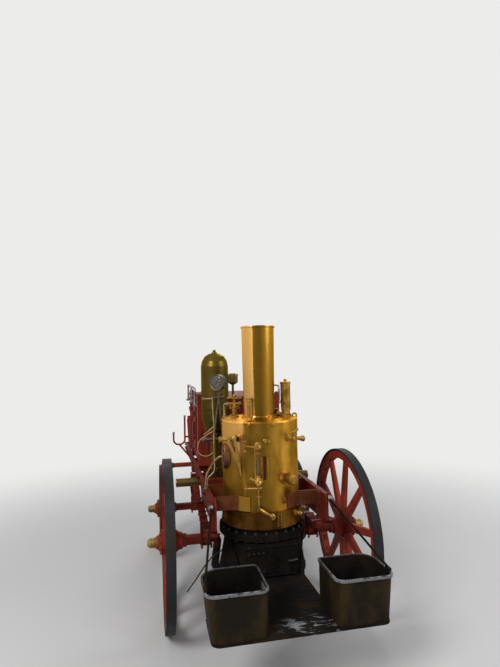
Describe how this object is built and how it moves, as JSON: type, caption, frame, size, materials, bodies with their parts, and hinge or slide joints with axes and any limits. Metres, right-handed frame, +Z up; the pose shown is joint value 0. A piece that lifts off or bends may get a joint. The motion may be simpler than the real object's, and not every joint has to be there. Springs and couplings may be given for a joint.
{
  "type": "steam fire engine",
  "caption": "Horse-drawn steam fire engine: upright boiler and pump on a sprung carriage with spoked wheels, hose box, driver's seat and rear footplate with bunkers.",
  "frame": {"origin": "on the ground, under the middle of the engine's overall length and width", "axes": "+X to the engine's right, +Y forward towards the horses, +Z up"},
  "size_m": [1.518, 3.245, 1.955],
  "materials": {
    "wood_red": "weathered red paint on timber",
    "iron_tyre": "dark worn iron",
    "brass": "dull brass",
    "frame_red": "weathered red paint",
    "gold_paint": "gold paint",
    "soot_black": "sooty black iron",
    "olive_brass": "tarnished brass",
    "copper": "brown, tarnished copper alloy",
    "steel": "worn bare steel",
    "glass": "gauge glass",
    "body_red": "weathered red paint on timber",
    "seat_leather": "worn black leather"
  },
  "bodies": {
    "carriage": {"air_vessel": "olive_brass", "ash_pan": "soot_black", "boiler_fittings": "gold_paint", "boiler_saddles": "frame_red", "boiler_shell": "gold_paint", "boiler_valves": "gold_paint", "bunkers": "soot_black", "chimney": "gold_paint", "delivery_pipe": "olive_brass", "driver_seat": "body_red", "engine_columns": "steel", "fire_grate": "soot_black", "firebox_casing": "soot_black", "footboard": "body_red", "footplate": "soot_black", "footplate_stays": "soot_black", "frame_cross_members": "frame_red", "frame_sides": "frame_red", "hand_hole_plate": "copper", "hand_rails": "steel", "hose_box": "body_red", "hose_crutches": "frame_red", "pressure_gauge": "steel", "pump_body": "olive_brass", "rear_axle": "frame_red", "rear_springs": "frame_red", "seat_cushion": "seat_leather", "seat_rail": "soot_black", "spring_hangers": "frame_red", "steam_cylinders": "gold_paint", "steam_pipe": "gold_paint", "suction_inlet": "olive_brass", "upper_turntable": "frame_red", "water_gauge_glass": "glass"},
    "rear_wheel_left": {"rear_wheel_left": "wood_red", "rear_tyre_left": "iron_tyre", "rear_hub_cap_left": "brass"},
    "rear_wheel_right": {"rear_wheel_right": "wood_red", "rear_tyre_right": "iron_tyre", "rear_hub_cap_right": "brass"},
    "front_wheel_left": {"front_wheel_left": "wood_red", "front_tyre_left": "iron_tyre", "front_hub_cap_left": "brass"},
    "front_wheel_right": {"front_wheel_right": "wood_red", "front_tyre_right": "iron_tyre", "front_hub_cap_right": "brass"},
    "fore_carriage": {"lower_turntable": "frame_red", "front_springs": "frame_red", "front_axle": "frame_red", "splinter_bar": "wood_red", "pole_socket": "frame_red"},
    "fire_door": {"fire_door": "soot_black"},
    "hose_box_lid": {"hose_box_lid": "body_red"},
    "piston_rod_left": {"piston_rod_left": "steel"},
    "piston_rod_right": {"piston_rod_right": "steel"}
  },
  "joints": [
    {"name": "rear_wheel_left_spin", "type": "hinge", "parent": "carriage", "child": "rear_wheel_left", "pos_m": [-0.625, -0.6325, 0.533], "axis": [1, 0, 0], "continuous": true},
    {"name": "rear_wheel_right_spin", "type": "hinge", "parent": "carriage", "child": "rear_wheel_right", "pos_m": [0.625, -0.6325, 0.533], "axis": [1, 0, 0], "continuous": true},
    {"name": "front_wheel_left_spin", "type": "hinge", "parent": "fore_carriage", "child": "front_wheel_left", "pos_m": [-0.625, 0.6375, 0.387], "axis": [1, 0, 0], "continuous": true},
    {"name": "front_wheel_right_spin", "type": "hinge", "parent": "fore_carriage", "child": "front_wheel_right", "pos_m": [0.625, 0.6375, 0.387], "axis": [1, 0, 0], "continuous": true},
    {"name": "steering", "type": "hinge", "parent": "carriage", "child": "fore_carriage", "pos_m": [0, 0.6375, 0.69], "axis": [0, 0, 1], "range_deg": [-30, 30]},
    {"name": "fire_door_hinge", "type": "hinge", "parent": "carriage", "child": "fire_door", "pos_m": [-0.17, -0.9888, 0.485], "axis": [0, 0, -1], "range_deg": [0, 110]},
    {"name": "hose_box_lid_hinge", "type": "hinge", "parent": "carriage", "child": "hose_box_lid", "pos_m": [0, 0.8775, 1.4093], "axis": [-1, 0, 0], "range_deg": [0, 80]},
    {"name": "piston_rod_left_slide", "type": "slide", "parent": "carriage", "child": "piston_rod_left", "axis": [0, 0, 1], "range_m": [-0.075, 0.075]},
    {"name": "piston_rod_right_slide", "type": "slide", "parent": "carriage", "child": "piston_rod_right", "axis": [0, 0, 1], "range_m": [-0.075, 0.075]}
  ],
  "couplings": [
    {"joint": "piston_rod_right_slide", "follows": "piston_rod_left_slide", "ratio": -1}
  ]
}
